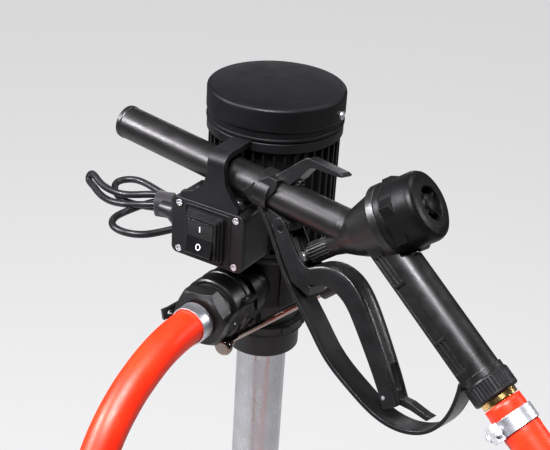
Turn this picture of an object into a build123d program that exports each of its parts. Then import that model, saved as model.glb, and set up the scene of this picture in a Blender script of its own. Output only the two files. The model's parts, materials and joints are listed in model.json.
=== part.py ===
from build123d import *
import math
import os

# ---------------------------------------------------------------- frame
# Millimetres, +Z up. Origin: motor axis at the plane of the drum head
# (underside of the bung gasket). -Y is the side the switch faces and
# the outlet points to.

# ---------------------------------------------------------------- motor
R_COWL = 53.0
Z_COWL0, Z_COWL1 = 180.0, 207.0
COWL_ANG = 7.0                      # first cowl screw, degrees from +X
R_RING = 52.3
Z_RING0 = 170.6
R_HOUSE, R_FIN, N_FIN = 47.0, 50.6, 40
R_BORE_HOUSE = 44.6
Z_HOUSE0 = 82.0
R_SHAFT = 6.0
R_BEARING = 14.0
R_STATOR_IN, R_ROTOR = 27.0, 26.4
Z_CORE0, Z_CORE1 = 102.0, 150.0
RUN_GAP = 0.05                      # radial running clearance

# ---------------------------------------------------------------- switch
SW_X, SW_Z = -0.9, 113.1            # centre of the box face
SW_W, SW_H = 63.4, 47.0
SW_FRONT = -87.5
SCREW_DX, SCREW_DZ = 24.8, 19.1
BEZEL_W, BEZEL_H = 32.0, 36.5
ROCK_W, ROCK_H = 22.0, 28.5

# ---------------------------------------------------------------- pump head, outlet, tube
Z_OUT = 45.0                        # height of the outlet axis
R_HEAD = 30.0
R_TUBE, R_TUBE_IN = 20.5, 18.5
Z_TUBE_END = -898.0
Z_FOOT = -905.0
R_THREAD, L_THREAD = 29.8, 20.0     # G 2 drum bung
R_DRIVE = 4.0
R_HOSE, R_HOSE_IN = 13.5, 9.6
ARM_TILT = 12.0                     # roll of the cam arm axis about the outlet axis

# ---------------------------------------------------------------- clamp
CL_Z = 16.0
CL_DIR = (0.158, -0.98744, 0.0)     # from the tube axis out to the screw head
CL_R_HEAD = 82.6                    # radius of the outer end face
BAR_ANGLE = 41.3                    # rise of the clamp bar
BAR_LEN, GRIP_LEN = 97.0, 30.0

# ---------------------------------------------------------------- nozzle
NZ_O = (118.591, -77.601, 149.57)   # spout axis crosses valve axis
NZ_X = (0.99263, -0.08264, -0.08868)  # from the tip towards the tail
NZ_Z = (0.10609, 0.23836, 0.96536)
SPOUT_R, SPOUT_L = 12.5, 216.5
V_ANG = 43.4                        # valve axis above the nozzle's x axis
G_ANG = -30.3                       # grip axis
GRIP_R = 14.0
GB = (10.3, 9.7)                    # start of the grip axis
GRIP_T = 122.0                      # end of the grip along its axis
PIV = (-54.5, -18.5)                # trigger pivot
LEV_W = 23.0
GUARD_W = 24.0

os.makedirs("parts", exist_ok=True)
A_MIN = (Align.CENTER, Align.CENTER, Align.MIN)


def out(name, shape):
    solids = list(shape.solids()) if hasattr(shape, "solids") else list(shape)
    shape = solids[0] if len(solids) == 1 else Compound(children=solids)
    shape.label = name
    export_step(shape, "parts/%s.step" % name)


def cyl(r, z0, z1, x=0.0, y=0.0):
    return Pos(x, y, z0) * Cylinder(r, z1 - z0, align=A_MIN)


def ring(ro, ri, z0, z1, x=0.0, y=0.0):
    return cyl(ro, z0, z1, x, y) - cyl(ri, z0 - 1, z1 + 1, x, y)


def bx(x0, x1, y0, y1, z0, z1):
    return Pos((x0 + x1) / 2, (y0 + y1) / 2, (z0 + z1) / 2) * Box(x1 - x0, y1 - y0, z1 - z0)


def rev(pts):
    """Solid of revolution about Z from (r, z) points."""
    with BuildPart() as p:
        with BuildSketch(Plane.XZ) as s:
            with BuildLine() as l:
                Polyline(*pts, close=True)
            make_face()
        revolve(axis=Axis.Z)
    return p.part


def rcyl(p0, p1, r):
    """Cylinder between two points."""
    a, b = Vector(*p0), Vector(*p1)
    d = b - a
    return Plane(origin=a, z_dir=d).location * Cylinder(r, d.length, align=A_MIN)


def pipe(pts, ro, ri, keep0, keep1):
    """Round bar or pipe along straight runs joined by tangent arcs. keep0 and keep1 stay straight at the ends."""
    P = [Vector(*p) for p in pts]
    n = len(P)
    L = [(P[i + 1] - P[i]).length for i in range(n - 1)]
    face = lambda o, d: (Plane(origin=o, z_dir=d) * Circle(ro)) - (Plane(origin=o, z_dir=d) * Circle(ri)) if ri > 0 else Plane(origin=o, z_dir=d) * Circle(ro)
    cur, body = P[0], []
    for i in range(1, n - 1):
        d0, d1 = (P[i] - P[i - 1]).normalized(), (P[i + 1] - P[i]).normalized()
        turn = math.radians(d0.get_angle(d1))
        before = L[i - 1] - keep0 if i == 1 else L[i - 1] / 2
        after = L[i] - keep1 if i == n - 2 else L[i] / 2
        t = min(before, after)
        R = t / math.tan(turn / 2)
        a, b = P[i] - d0 * t, P[i] + d1 * t
        ax = d0.cross(d1).normalized()
        if (a - cur).length > 1e-3:
            body.append(extrude(face(cur, d0), amount=(a - cur).length))
        body.append(revolve(face(a, d0), axis=Axis(a + ax.cross(d0) * R, ax), revolution_arc=math.degrees(turn)))
        cur = b
    body.append(extrude(face(cur, (P[-1] - cur).normalized()), amount=(P[-1] - cur).length))
    whole = body[0]
    for piece in body[1:]:
        whole = whole + piece
    return whole


def group(items):
    return [s for it in items for s in it.solids()]


def rbox_y(w, h, y0, y1, cx, cz, rad):
    """Box along Y with rounded long edges, centred on cx, cz."""
    sk = Plane.XZ * (Pos(cx, cz) * RectangleRounded(w, h, rad))
    return Pos(0, y1, 0) * extrude(sk, y1 - y0)


# ================================================================ motor
# fan cowl: cap with a rounded shoulder and a slightly smaller lower lip
cowl = rev([(0, Z_COWL1), (12, Z_COWL1 - 0.06), (24, Z_COWL1 - 0.26), (34, Z_COWL1 - 0.55), (43, Z_COWL1 - 0.95),
            (R_COWL - 3.0, Z_COWL1 - 1.5), (R_COWL - 1.2, Z_COWL1 - 2.1), (R_COWL - 0.3, Z_COWL1 - 3.1), (R_COWL, Z_COWL1 - 4.4),
            (R_COWL, 188.2), (R_COWL - 0.3, 187.6), (R_COWL - 1.1, 187.2), (R_COWL - 1.1, 182.0),
            (R_COWL - 0.2, 181.6), (R_COWL - 0.2, Z_COWL0),
            (R_COWL - 2.9, Z_COWL0), (R_COWL - 2.9, Z_COWL1 - 5.2), (R_COWL - 4.6, Z_COWL1 - 4.2),
            (0, Z_COWL1 - 2.8)])
COWL_SCREW_ANG = [COWL_ANG, COWL_ANG + 180.0]
hole = [Rot(0, 0, a) * Pos(R_COWL - 2, 0, 191.8) * Rot(0, 90, 0) * Cylinder(2.05, 10) for a in COWL_SCREW_ANG]
cowl = cowl - hole
out("fan_cowl", cowl)
scr = []
for a in COWL_SCREW_ANG:
    s = Cylinder(2.0, 6, align=(Align.CENTER, Align.CENTER, Align.MAX)) + Cylinder(3.3, 1.7, align=A_MIN)
    s = s - Pos(0, 0, 1.0) * Box(4.4, 0.8, 2, align=A_MIN) - Pos(0, 0, 1.0) * Box(0.8, 4.4, 2, align=A_MIN)
    scr.append(Rot(0, 0, a) * Pos(R_COWL, 0, 191.8) * Rot(0, 90, 0) * s)
motor_scr = group(scr)

# cooling fan
fan = ring(9.5, R_SHAFT, 183.0, 198.0) + ring(41, 9, 183.0, 184.6)
blade = Pos(26, 0, 190.5) * Box(30, 1.6, 12)
fan = fan + [Rot(0, 0, 36 * i) * blade for i in range(10)]
out("cooling_fan", fan)

# upper end shield: the ring seen under the cowl, with the bearing seat
ues = rev([(R_BEARING, 169.0), (R_BEARING + 4, 169.0), (R_BEARING + 4, Z_RING0 + 1.4), (R_BORE_HOUSE - 3, Z_RING0 + 1.4),
           (R_BORE_HOUSE - 3, 167.0), (R_BORE_HOUSE - 0.05, 167.0), (R_BORE_HOUSE - 0.05, Z_RING0),
           (R_RING - 0.8, Z_RING0), (R_RING, Z_RING0 + 0.8), (R_RING, 178.0), (R_RING - 2.6, Z_COWL0),
           (R_RING - 5.5, Z_COWL0), (R_RING - 5.5, 176.5), (R_BEARING, 176.5)])
out("upper_end_shield", ues)
out("upper_bearing", ring(R_BEARING, R_SHAFT + RUN_GAP, 169.0, 176.5))

# finned housing with a flat pad for the switch box
house = ring(R_HOUSE, R_BORE_HOUSE, Z_HOUSE0, Z_RING0)
fins = []
for i in range(N_FIN):
    fins.append(Rot(0, 0, 360.0 / N_FIN * (i + 0.5)) * Pos((R_HOUSE + R_FIN) / 2 - 0.3, 0, (Z_HOUSE0 + Z_RING0) / 2)
                * Box(R_FIN - R_HOUSE + 0.6, 1.9, Z_RING0 - Z_HOUSE0 - 3.0))
house = house + fins
pad = bx(-27, 27, -53.0, -40, 91, 135) - cyl(R_HOUSE - 0.5, 80, 150)
house = house + pad + ring(R_FIN, R_HOUSE - 0.5, Z_HOUSE0, Z_HOUSE0 + 4.5)
out("motor_housing", house)

out("stator_core", ring(R_BORE_HOUSE - 0.05, R_STATOR_IN, Z_CORE0, Z_CORE1)
    - [Rot(0, 0, 15 * i) * Pos(R_STATOR_IN + 3.5, 0, 126) * Box(9, 3.2, 60) for i in range(24)])


def torus_ring(rm, hw, z0, z1, rad):
    with BuildPart() as p:
        with BuildSketch(Plane.XZ):
            with Locations((rm, (z0 + z1) / 2)):
                RectangleRounded(2 * hw, z1 - z0, rad)
        revolve(axis=Axis.Z)
    return p.part


out("stator_windings", Compound(children=group([torus_ring(35.5, 6.0, 88.0, 101.9, 4.5), torus_ring(35.5, 6.0, 150.1, 164.0, 4.5)])))
out("rotor_core", ring(R_ROTOR, R_SHAFT, Z_CORE0, Z_CORE1) - [Rot(0, 0, 20 * i) * cyl(1.5, 100, 152, 23.5, 0) for i in range(18)])
out("motor_shaft", cyl(R_SHAFT, 47.0, 199.0))

# lower end shield: dished casting down to the pump head
les = rev([(R_BEARING, 70.0), (R_BEARING, 79.0), (18, 79.0), (18, 76.0), (R_BORE_HOUSE - 4, 78.0),
           (R_BORE_HOUSE - 4, 86.0), (R_BORE_HOUSE - 0.05, 86.0), (R_BORE_HOUSE - 0.05, Z_HOUSE0), (R_FIN + 0.6, Z_HOUSE0),
           (R_FIN + 0.6, 79.0), (R_FIN - 1.5, 76.5), (41, 71.5), (33.0, 68.0), (R_HEAD + 0.5, 66.0),
           (10.5, 66.0), (10.5, 70.0)])
es_pts = [(38 * math.cos(math.radians(a)), 38 * math.sin(math.radians(a))) for a in (0, 90, 180, 270)]
les = les - [cyl(2.6, 60, 90, x, y) for x, y in es_pts]
les = les - [cyl(4.6, 60, 73.2, x, y) for x, y in es_pts]
out("lower_end_shield", les)
out("lower_bearing", ring(R_BEARING, R_SHAFT + RUN_GAP, 70.0, 78.5))
ess = []
for x, y in es_pts:
    ess.append(cyl(2.5, 73.2, 84.0, x, y) + (cyl(4.4, 69.0, 73.2, x, y) - Pos(x, y, 68.9) * extrude(RegularPolygon(2.3, 6), 2.6)))
out("motor_screws", Compound(children=motor_scr + group(ess)))

# ================================================================ pump head and outlet
head = cyl(R_HEAD, 26.0, 66.0)
head = head + rcyl((0, -20, Z_OUT), (0, -47, Z_OUT), 18.6)
head = head + rcyl((0, -40, Z_OUT), (0, -50.5, Z_OUT), 24.0)
head = head - cyl(R_TUBE, 20.0, 37.0) - cyl(17.0, 30.0, 57.0) - cyl(10.0, 50.0, 60.0)
head = head - cyl(10.0, 55, 70) - rcyl((0, 0, Z_OUT), (0, -60, Z_OUT), 12.0)
head = head - rcyl((0, -36, Z_OUT), (0, -60, Z_OUT), 15.0)
ribs = [Rot(0, 0, a) * Pos(R_HEAD + 0.6, 0, 46) * Box(3.0, 3.0, 38) for a in (-35, 0, 35, 70, 105, 140, 175, 210)]
head = head + ribs
out("pump_head", head)
out("shaft_seal", ring(10.0, R_SHAFT + RUN_GAP, 59.0, 65.8))
out("shaft_coupling", (cyl(9.0, 40.0, 55.5) - cyl(R_SHAFT, 47.0, 60) - cyl(R_DRIVE, 30, 47.5)))
out("drive_shaft", cyl(R_DRIVE, -886.0, 47.0))

# male camlock adapter screwed in the outlet boss
ad = rcyl((0, -36.5, Z_OUT), (0, -53, Z_OUT), 15.0) + rcyl((0, -50.5, Z_OUT), (0, -55.5, Z_OUT), 20.5) + rcyl((0, -53, Z_OUT), (0, -76, Z_OUT), 17.4)
ad = ad - rcyl((0, -30, Z_OUT), (0, -80, Z_OUT), 11.5)


def rev_y(pts):
    """Revolve (r, d) points about the outlet axis; d is the distance along -Y."""
    return Pos(0, 0, Z_OUT) * (Rot(90, 0, 0) * rev(pts))


groove = rev_y([(14.4, 62.0), (17.5, 59.5), (20, 59.5), (20, 70.5), (17.5, 70.5), (14.4, 68.0)])
ad = ad - groove
out("outlet_adapter", ad)

# female coupler: body with stepped rings, ears for the cam arms, hex and shank
cp = rev_y([(17.6, 57.0), (24.4, 57.0), (25.0, 57.8), (25.0, 62.5), (24.0, 63.2), (24.0, 70.5), (25.0, 71.2), (25.0, 78.0),
            (23.6, 79.0), (21.0, 79.0), (21.0, 92.0), (15.5, 95.5), (9.0, 95.5), (9.0, 120.0), (7.4, 120.0), (7.4, 80.5), (17.6, 80.5)])
hexa = Pos(0, -83.5, Z_OUT) * (Rot(90, 0, 0) * extrude(RegularPolygon(24.6, 6, rotation=8), 12.0))
hexa = hexa & rev_y([(0, 83.5), (22.0, 83.5), (24.8, 85.6), (24.8, 93.0), (21.6, 95.5), (0, 95.5)])
cp = cp + (hexa - rcyl((0, -80, Z_OUT), (0, -100, Z_OUT), 12.0))
# ears
ears = []
slots = []
for sgn in (1, -1):
    e = Pos(sgn * 25.0, -64.0, 0) * Box(9.0, 13.0, 15.0)
    ears.append(e)
    slots.append(Pos(sgn * 26.0, -63.0, 0) * Box(16.5, 19.0, 9.4))
roll = Pos(0, 0, Z_OUT) * Rot(0, -ARM_TILT, 0)
cp = cp + [roll * e for e in ears]
cp = cp - [roll * s for s in slots]
pinh = [roll * (Pos(sg * 26.0, -66.0, 0) * Cylinder(1.5, 30)) for sg in (1, -1)]
cp = cp - pinh
# clear bore for the adapter after the ears were added
cp = cp - rcyl((0, -50, Z_OUT), (0, -77.6, Z_OUT), 17.6)
# room for the clamp screw's knob to turn beside the hexagon
kd = Vector(*CL_DIR)
cp = cp - rcyl(tuple(kd * (CL_R_HEAD - 7.0) + Vector(0, 0, CL_Z)), tuple(kd * (CL_R_HEAD + 0.5) + Vector(0, 0, CL_Z)), 7.5)
out("camlock_coupler", cp)
out("cam_pins", Compound(children=group([roll * (Pos(sg * 26.0, -66.0, 0) * Cylinder(1.5, 15.0)) for sg in (1, -1)])))
out("coupler_gasket", rev_y([(11.6, 76.1), (17.4, 76.1), (17.4, 80.4), (11.6, 80.4)]))

for name, sg in (("cam_arm_right", 1), ("cam_arm_left", -1)):
    with BuildPart() as bp:
        with BuildSketch(Plane.XY) as s:
            with BuildLine():
                Polyline((22.4, -62.4), (26.0, -61.5), (29.4, -63.4), (30.2, -68.0), (29.6, -80.0), (31.2, -92.0), (33.4, -98.0),
                         (31.0, -99.0), (28.4, -93.0), (26.6, -80.0), (26.4, -71.6), (22.6, -70.2), (21.4, -66.0), close=True)
            make_face()
        extrude(amount=4.2, both=True)
    arm = bp.part - Pos(26.0, -66.0, 0) * Cylinder(1.5 + RUN_GAP, 20)
    arm = arm - Pos(30.6, -93.2, 0) * Rot(0, 90, 0) * Cylinder(2.2, 12)
    # the cam nose stays clear of the adapter groove at rest
    if sg < 0:
        arm = arm.mirror(Plane.YZ)
    out(name, roll * arm)

# delivery hose: from the coupler shank down and back up to the nozzle
gdir = Vector(math.cos(math.radians(G_ANG)), 0, math.sin(math.radians(G_ANG)))
nz = Plane(origin=NZ_O, x_dir=NZ_X, z_dir=NZ_Z)
NZL = nz.location


def nzp(a, c, y=0.0):
    """Nozzle coordinates to the row frame."""
    v = nz.from_local_coords(Vector(a, y, c))
    return (v.X, v.Y, v.Z)


def gpt(t, off=0.0):
    """Point on the grip axis, off is the distance on the upper side."""
    ca, sa = math.cos(math.radians(G_ANG)), math.sin(math.radians(G_ANG))
    return (GB[0] + t * ca - off * sa, GB[1] + t * sa + off * ca)


h_end = Vector(*nzp(*gpt(143.0)))
h_end2 = Vector(*nzp(*gpt(184.0)))
h_dir = (h_end2 - h_end).normalized()
hose_pts = [(0, -97, Z_OUT), (0, -142.7, Z_OUT), (0.3, -197, 19.3), (6, -249.5, -40.2), (22, -281, -170), (70, -283, -330),
            (185, -250, -425), (315, -203, -395), (392, -165, -235), (398, -146, -120),
            tuple(h_end2 + h_dir * 68.0), tuple(h_end)]
hose = pipe(hose_pts, R_HOSE, R_HOSE_IN, 20.0, 49.0)
out("delivery_hose", hose)


def clampband(o, d, w, ang, name_r=R_HOSE, xd=None):
    """Worm drive band: a ring round the hose and its screw housing."""
    pl = Plane(origin=o, z_dir=d, x_dir=xd) if xd else Plane(origin=o, z_dir=d)
    b = ring(name_r + 1.5, name_r + 0.3, 0, w)
    b = b + Rot(0, 0, ang) * (Pos(name_r + 3.4, 0, w / 2) * Box(5.6, 9.0, w + 1.5))
    b = b - cyl(name_r + 0.3, -2, w + 2)
    s = Rot(0, 0, ang) * (Pos(name_r + 4.0, 0, w / 2) * (Rot(90, 0, 0) * Cylinder(2.6, 17.0)))
    b = b - s
    hs = Rot(0, 0, ang) * (Pos(name_r + 4.0, 8.5, w / 2) * (Rot(90, 0, 0) * (extrude(RegularPolygon(3.9, 6), 3.0))))
    scw = s + hs
    return pl.location * b, pl.location * scw


hc_band, hc_screw = clampband((0, -98.5, Z_OUT), (0, -1, 0), 11.0, 222, xd=(1, 0, 0))
out("hose_clamp", Compound(children=group([hc_band, hc_screw])))

# ================================================================ bung adapter and clamp
out("bung_gasket", ring(33.6, 30.0, 0.0, 2.0))
ba = cyl(R_THREAD, -L_THREAD, 0.0) + cyl(29.0, -1.0, 3.0) + cyl(33.5, 2.0, 8.0) + cyl(29.5, 8.0, 26.0)
d = Vector(*CL_DIR)
e_bar = Vector(-CL_DIR[1], CL_DIR[0], 0)            # horizontal, across the screw
ba = ba + [Rot(0, 0, a) * Pos(33.6, 0, 5.0) * Box(2.4, 8.0, 6.0) for a in (20, 65, 110, 155, 200, 335)]
boss = rcyl(tuple(d * 24 + Vector(0, 0, CL_Z)), tuple(d * 38 + Vector(0, 0, CL_Z)), 9.0)
ba = ba + (boss & bx(-60, 60, -60, 60, 2.0, 26.0))
ba = ba - cyl(R_TUBE + 0.05, -30, 40)
ba = ba - rcyl((0, 0, CL_Z), tuple(d * 60 + Vector(0, 0, CL_Z)), 4.0 + RUN_GAP)
out("bung_adapter", ba)

sc = rcyl(tuple(d * (R_TUBE + 0.3) + Vector(0, 0, CL_Z)), tuple(d * 44 + Vector(0, 0, CL_Z)), 4.0)
sc = sc + rcyl(tuple(d * 43 + Vector(0, 0, CL_Z)), tuple(d * (CL_R_HEAD - 5) + Vector(0, 0, CL_Z)), 5.2)
hd = rcyl(tuple(d * (CL_R_HEAD - 6.5) + Vector(0, 0, CL_Z)), tuple(d * CL_R_HEAD + Vector(0, 0, CL_Z)), 7.0)
hd = fillet(hd.edges().filter_by(GeomType.CIRCLE), 2.4)
sc = sc + hd
bdir = e_bar * math.cos(math.radians(BAR_ANGLE)) + Vector(0, 0, 1) * math.sin(math.radians(BAR_ANGLE))
b0 = d * (CL_R_HEAD - 12.0) + Vector(0, 0, CL_Z)
sc = sc - rcyl(tuple(b0 - bdir * 12), tuple(b0 + bdir * 12), 2.6)
out("clamp_screw", sc)
bar = rcyl(tuple(b0 - bdir * 5.2), tuple(b0 + bdir * (BAR_LEN + 12)), 2.6)
out("clamp_bar", bar)
gp = rcyl(tuple(b0 + bdir * BAR_LEN), tuple(b0 + bdir * (BAR_LEN + GRIP_LEN)), 5.4)
gp = fillet(gp.edges().filter_by(GeomType.CIRCLE), 1.4)
gp = gp - rcyl(tuple(b0 + bdir * (BAR_LEN - 2)), tuple(b0 + bdir * (BAR_LEN + 12)), 2.6)
out("clamp_bar_grip", gp)

# ================================================================ suction tube
out("suction_tube", ring(R_TUBE, R_TUBE_IN, Z_TUBE_END, 37.0))
bush = []
for z in (-235.0, -500.0, -780.0):
    b = ring(18.45, 15.5, z, z + 14) + ring(8.0, R_DRIVE + RUN_GAP, z, z + 14)
    b = b + [Rot(0, 0, 120 * i) * Pos(11.8, 0, z + 7) * Box(9.0, 3.0, 14) for i in range(3)]
    b = b - cyl(R_DRIVE + RUN_GAP, z - 1, z + 15)
    bush.append(b)
out("shaft_bushes", Compound(children=group(bush)))
imp = ring(7.0, R_DRIVE, -886.0, -862.0)
bl = Pos(11.6, 0, -874) * (Rot(38, 0, 0) * Box(11.0, 2.4, 22.0))
imp = imp + [Rot(0, 0, 90 * i) * bl for i in range(4)]
imp = imp & cyl(17.6, -886.0, -862.0)
imp = imp - cyl(R_DRIVE, -890, -860)
out("impeller", imp)
foot = cyl(24.0, Z_FOOT, -868.0) - cyl(R_TUBE, Z_TUBE_END, -860.0) - cyl(19.0, Z_FOOT + 3.0, -890.0)
foot = foot - [Rot(0, 0, 30 * i) * Pos(22, 0, Z_FOOT + 1.2) * Box(12, 4.0, 8.0) for i in range(12)]
out("foot_strainer", foot)

# ================================================================ switch box
SW_B0, SW_B1 = -84.2, -53.0         # box body, front and back
box = rbox_y(SW_W, SW_H, SW_B0, SW_B1, SW_X, SW_Z, 5.0)
inner = rbox_y(SW_W - 5.6, SW_H - 5.6, SW_B0 - 1, SW_B1 - 2.4, SW_X, SW_Z, 3.0)
box = box - inner
posts = [Pos(SW_X + sx * SCREW_DX, (SW_B0 + SW_B1 - 2) / 2, SW_Z + sz * SCREW_DZ) * Rot(90, 0, 0) * Cylinder(4.2, SW_B1 - SW_B0 - 2)
         for sx in (-1, 1) for sz in (-1, 1)]
box = box + posts
box = box & rbox_y(SW_W, SW_H, SW_B0, SW_B1, SW_X, SW_Z, 5.0)
box = box - [Pos(SW_X + sx * SCREW_DX, SW_B0 + 7, SW_Z + sz * SCREW_DZ) * Rot(90, 0, 0) * Cylinder(1.6, 16)
             for sx in (-1, 1) for sz in (-1, 1)]
GL_Y, GL_Z = -67.0, 110.5           # cable gland axis
box = box - rcyl((-45, GL_Y, GL_Z), (-25, GL_Y, GL_Z), 6.0)
out("switch_box", box)
gk = rbox_y(SW_W - 0.6, SW_H - 0.6, SW_B0 - 0.8, SW_B0, SW_X, SW_Z, 4.8)
hole4 = [Pos(SW_X + sx * SCREW_DX, -86, SW_Z + sz * SCREW_DZ) * Rot(90, 0, 0) * Cylinder(1.7, 12) for sx in (-1, 1) for sz in (-1, 1)]
opening = rbox_y(26.4, 32.0, -95, -80, SW_X, SW_Z, 1.5)
out("switch_gasket", gk - rbox_y(40.0, 40.0, -90, -80, SW_X, SW_Z, 2.0) - hole4)
cv = rbox_y(SW_W, SW_H, SW_FRONT, SW_B0 - 0.8, SW_X, SW_Z, 5.2)
front_e = cv.faces().sort_by(Axis.Y)[0].edges()
cv = fillet(front_e, 0.9)
# raised border round the switch opening
cv = cv + (rbox_y(40.5, 42.0, SW_FRONT - 0.7, SW_FRONT + 0.5, SW_X + 0.6, SW_Z, 3.0))
cv = cv - rbox_y(38.0, 39.6, SW_FRONT - 2, SW_FRONT, SW_X + 0.6, SW_Z, 2.2)
cv = cv - opening - hole4
cv = cv - [Pos(SW_X + sx * SCREW_DX, SW_FRONT, SW_Z + sz * SCREW_DZ) * Rot(90, 0, 0) * Cylinder(3.3, 2.0) for sx in (-1, 1) for sz in (-1, 1)]
out("switch_cover", cv)
cs = []
for sx in (-1, 1):
    for sz in (-1, 1):
        s = Cylinder(1.6, 13.0, align=(Align.CENTER, Align.CENTER, Align.MAX)) + Cylinder(2.7, 1.5, align=A_MIN)
        s = s - Pos(0, 0, 0.7) * Box(4.0, 0.7, 2, align=A_MIN) - Pos(0, 0, 0.7) * Box(0.7, 4.0, 2, align=A_MIN)
        cs.append(Pos(SW_X + sx * SCREW_DX, SW_FRONT + 1.0, SW_Z + sz * SCREW_DZ) * Rot(90, 0, 0) * s)
box_scr = group(cs)

# rocker bezel: stepped frame with a tub behind the cover
RK_P = SW_FRONT - 3.0               # rocker pivot depth
bz = rbox_y(BEZEL_W, BEZEL_H, SW_FRONT - 3.4, SW_FRONT, SW_X, SW_Z, 2.4)
bz = bz + rbox_y(BEZEL_W - 2.6, BEZEL_H - 2.4, SW_FRONT - 6.0, SW_FRONT - 1.0, SW_X, SW_Z, 2.2)
bz = bz + rbox_y(BEZEL_W - 5.4, BEZEL_H - 4.8, SW_FRONT - 8.4, SW_FRONT - 1.0, SW_X, SW_Z, 2.0)
bz = bz + rbox_y(26.0, 31.6, SW_FRONT, SW_FRONT + 16.0, SW_X, SW_Z, 1.2)
bz = bz - rbox_y(ROCK_W + 0.6, ROCK_H + 0.9, SW_FRONT - 20, SW_FRONT + 5.0, SW_X, SW_Z, 1.2)
bz = bz - Pos(SW_X, RK_P, SW_Z) * Rot(0, 90, 0) * Cylinder(1.5 + RUN_GAP, BEZEL_W - 6.5)
tabs = [bx(SW_X + k * 7 - 2.4, SW_X + k * 7 + 2.4, SW_FRONT + 16, SW_FRONT + 20.5, SW_Z + m - 0.4, SW_Z + m + 0.4)
        for k in (-1, 1) for m in (-8, 8)]
bz = bz + tabs
out("rocker_bezel", bz)
# rocker button: shallow V on a cross pivot, resting with its lower half out
with BuildPart() as rb:
    with BuildSketch(Plane.YZ) as s:
        with BuildLine():
            hh = ROCK_H / 2 - 0.85
            Polyline((-7.6, -hh), (-6.5, -hh * 0.5), (-5.7, 0), (-6.5, hh * 0.5), (-7.6, hh), (-2.6, hh),
                     (5.6, 7.2), (6.6, 0), (5.6, -7.2), (-2.6, -hh), close=True)
        make_face()
    extrude(amount=ROCK_W / 2, both=True)
rk = fillet(rb.part.edges().filter_by(Axis.X).sort_by(Axis.Y)[:2], 0.9)
rk = rk + Rot(0, 90, 0) * Cylinder(1.5, BEZEL_W - 7.0)
rk = Pos(SW_X, RK_P, SW_Z) * Rot(-7.0, 0, 0) * rk
out("rocker_button", rk)
out("run_capacitor", bx(-20, 16, -64.5, -55.6, 98.5, 123.5) + bx(-12, -8, -66.4, -64.5, 114, 117) + bx(4, 8, -66.4, -64.5, 114, 117))

# cable gland with a bend boot, cable and plug
gx = SW_X - SW_W / 2
gl = rcyl((gx + 3.2, GL_Y, GL_Z), (gx, GL_Y, GL_Z), 5.95)
gl = gl + Pos(gx, GL_Y, GL_Z) * (Rot(0, -90, 0) * extrude(RegularPolygon(9.4, 6), 4.0))
gl = gl + Pos(gx - 4.0, GL_Y, GL_Z) * (Rot(0, -90, 0) * extrude(RegularPolygon(8.6, 6), 7.0))
gl = gl + Pos(gx - 11, GL_Y, GL_Z) * (Rot(0, -90, 0) * Cone(7.4, 5.2, 13.0, align=A_MIN))
cab_pts = [(gx + 1.0, GL_Y, GL_Z), (gx - 42, GL_Y, GL_Z), (-104, -22, 48), (-134, 22, 4), (-200, 42, 4), (-262, 44, 4), (-293, 92, 4),
           (-262, 141, 4), (-190, 133, 4), (-130, 140, 6), (-78, 140, 6)]
cab = pipe(cab_pts, 3.35, 0.0, 26.0, 26.0)
out("power_cable", cab)
gl = gl - rcyl((gx + 10, GL_Y, GL_Z), (gx - 0.9, GL_Y, GL_Z), 3.4) - cab
out("cable_gland", gl)
pq = Plane(origin=(-86, 140, 6), z_dir=(1, 0, 0), x_dir=(0, 1, 0))
plug = pq.location * (Cylinder(5.5, 12, align=A_MIN) - Cylinder(3.4, 8, align=A_MIN))
pb = Pos(0, 0, 12) * extrude(RectangleRounded(34, 12.0, 5.0), 30)
plug = plug + pq.location * pb - cab
plug = plug - [pq.location * (Pos(sx * 9.5, 0, 34) * Cylinder(1.6, 20, align=A_MIN)) for sx in (-1, 1)]
out("mains_plug", plug)
pin = Pos(0, 0, 34) * Cylinder(1.6, 9.0, align=A_MIN) + Pos(0, 0, 43) * Cylinder(2.0, 18.0, align=A_MIN)
out("plug_pins", Compound(children=group([pq.location * (Pos(sx * 9.5, 0, 0) * pin) for sx in (-1, 1)])))

# ================================================================ nozzle bracket
# bent plate: foot on the box, upright in front of the spout, arch back to the ring
BR_T = 4.6
with BuildPart() as br:
    with BuildSketch(Plane.YZ) as s:
        with BuildLine():
            l1 = Polyline((-82.0, SW_Z + SW_H / 2), (-82.0, 169.0))
            l2 = RadiusArc((-82.0, 169.0), (-76.0, 175.0), 6.0)
            l3 = Polyline((-76.0, 175.0), (-50.0, 175.0), (-50.0, 175.0 + BR_T), (-76.0, 175.0 + BR_T))
            l4 = RadiusArc((-76.0, 175.0 + BR_T), (-82.0 - BR_T, 169.0), -(6.0 + BR_T))
            l5 = Polyline((-82.0 - BR_T, 169.0), (-82.0 - BR_T, SW_Z + SW_H / 2), (-82.0, SW_Z + SW_H / 2))
        make_face()
    extrude(amount=40, both=True)
brk = br.part
# outline seen from the front: narrow above, flaring to the foot
with BuildPart() as bo:
    with BuildSketch(Plane.XZ) as s:
        with BuildLine():
            Polyline((-3.2, 185), (-3.2, 162), (-6.0, 153), (-14.5, 145.0), (-25.5, 141.0), (-25.5, SW_Z + SW_H / 2),
                     (24.5, SW_Z + SW_H / 2), (24.5, 140.5), (19.5, 146.0), (13.2, 156.0), (11.4, 166), (11.4, 185), close=True)
        make_face()
    extrude(amount=120)
brk = brk & bo.part
# the arch ends on the ring
brk = brk - cyl(R_RING, 160, 190) - cyl(R_COWL + 0.2, 179.7, 190)
# bottom flange standing on the box lid
brk = brk + bx(-25.5, 24.5, -82.0, -66.0, SW_Z + SW_H / 2, SW_Z + SW_H / 2 + 2.4)
brk = brk - [cyl(2.05, 130, 150, x, -72.5) for x in (-17, 16)]
out("nozzle_bracket", brk)
bs = []
for x in (-17, 16):
    zt = SW_Z + SW_H / 2 + 2.4
    bs.append(cyl(2.0, zt - 2.4, zt, x, -72.5) + cyl(3.6, zt, zt + 1.8, x, -72.5))
out("box_screws", Compound(children=box_scr + group(bs)))

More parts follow.
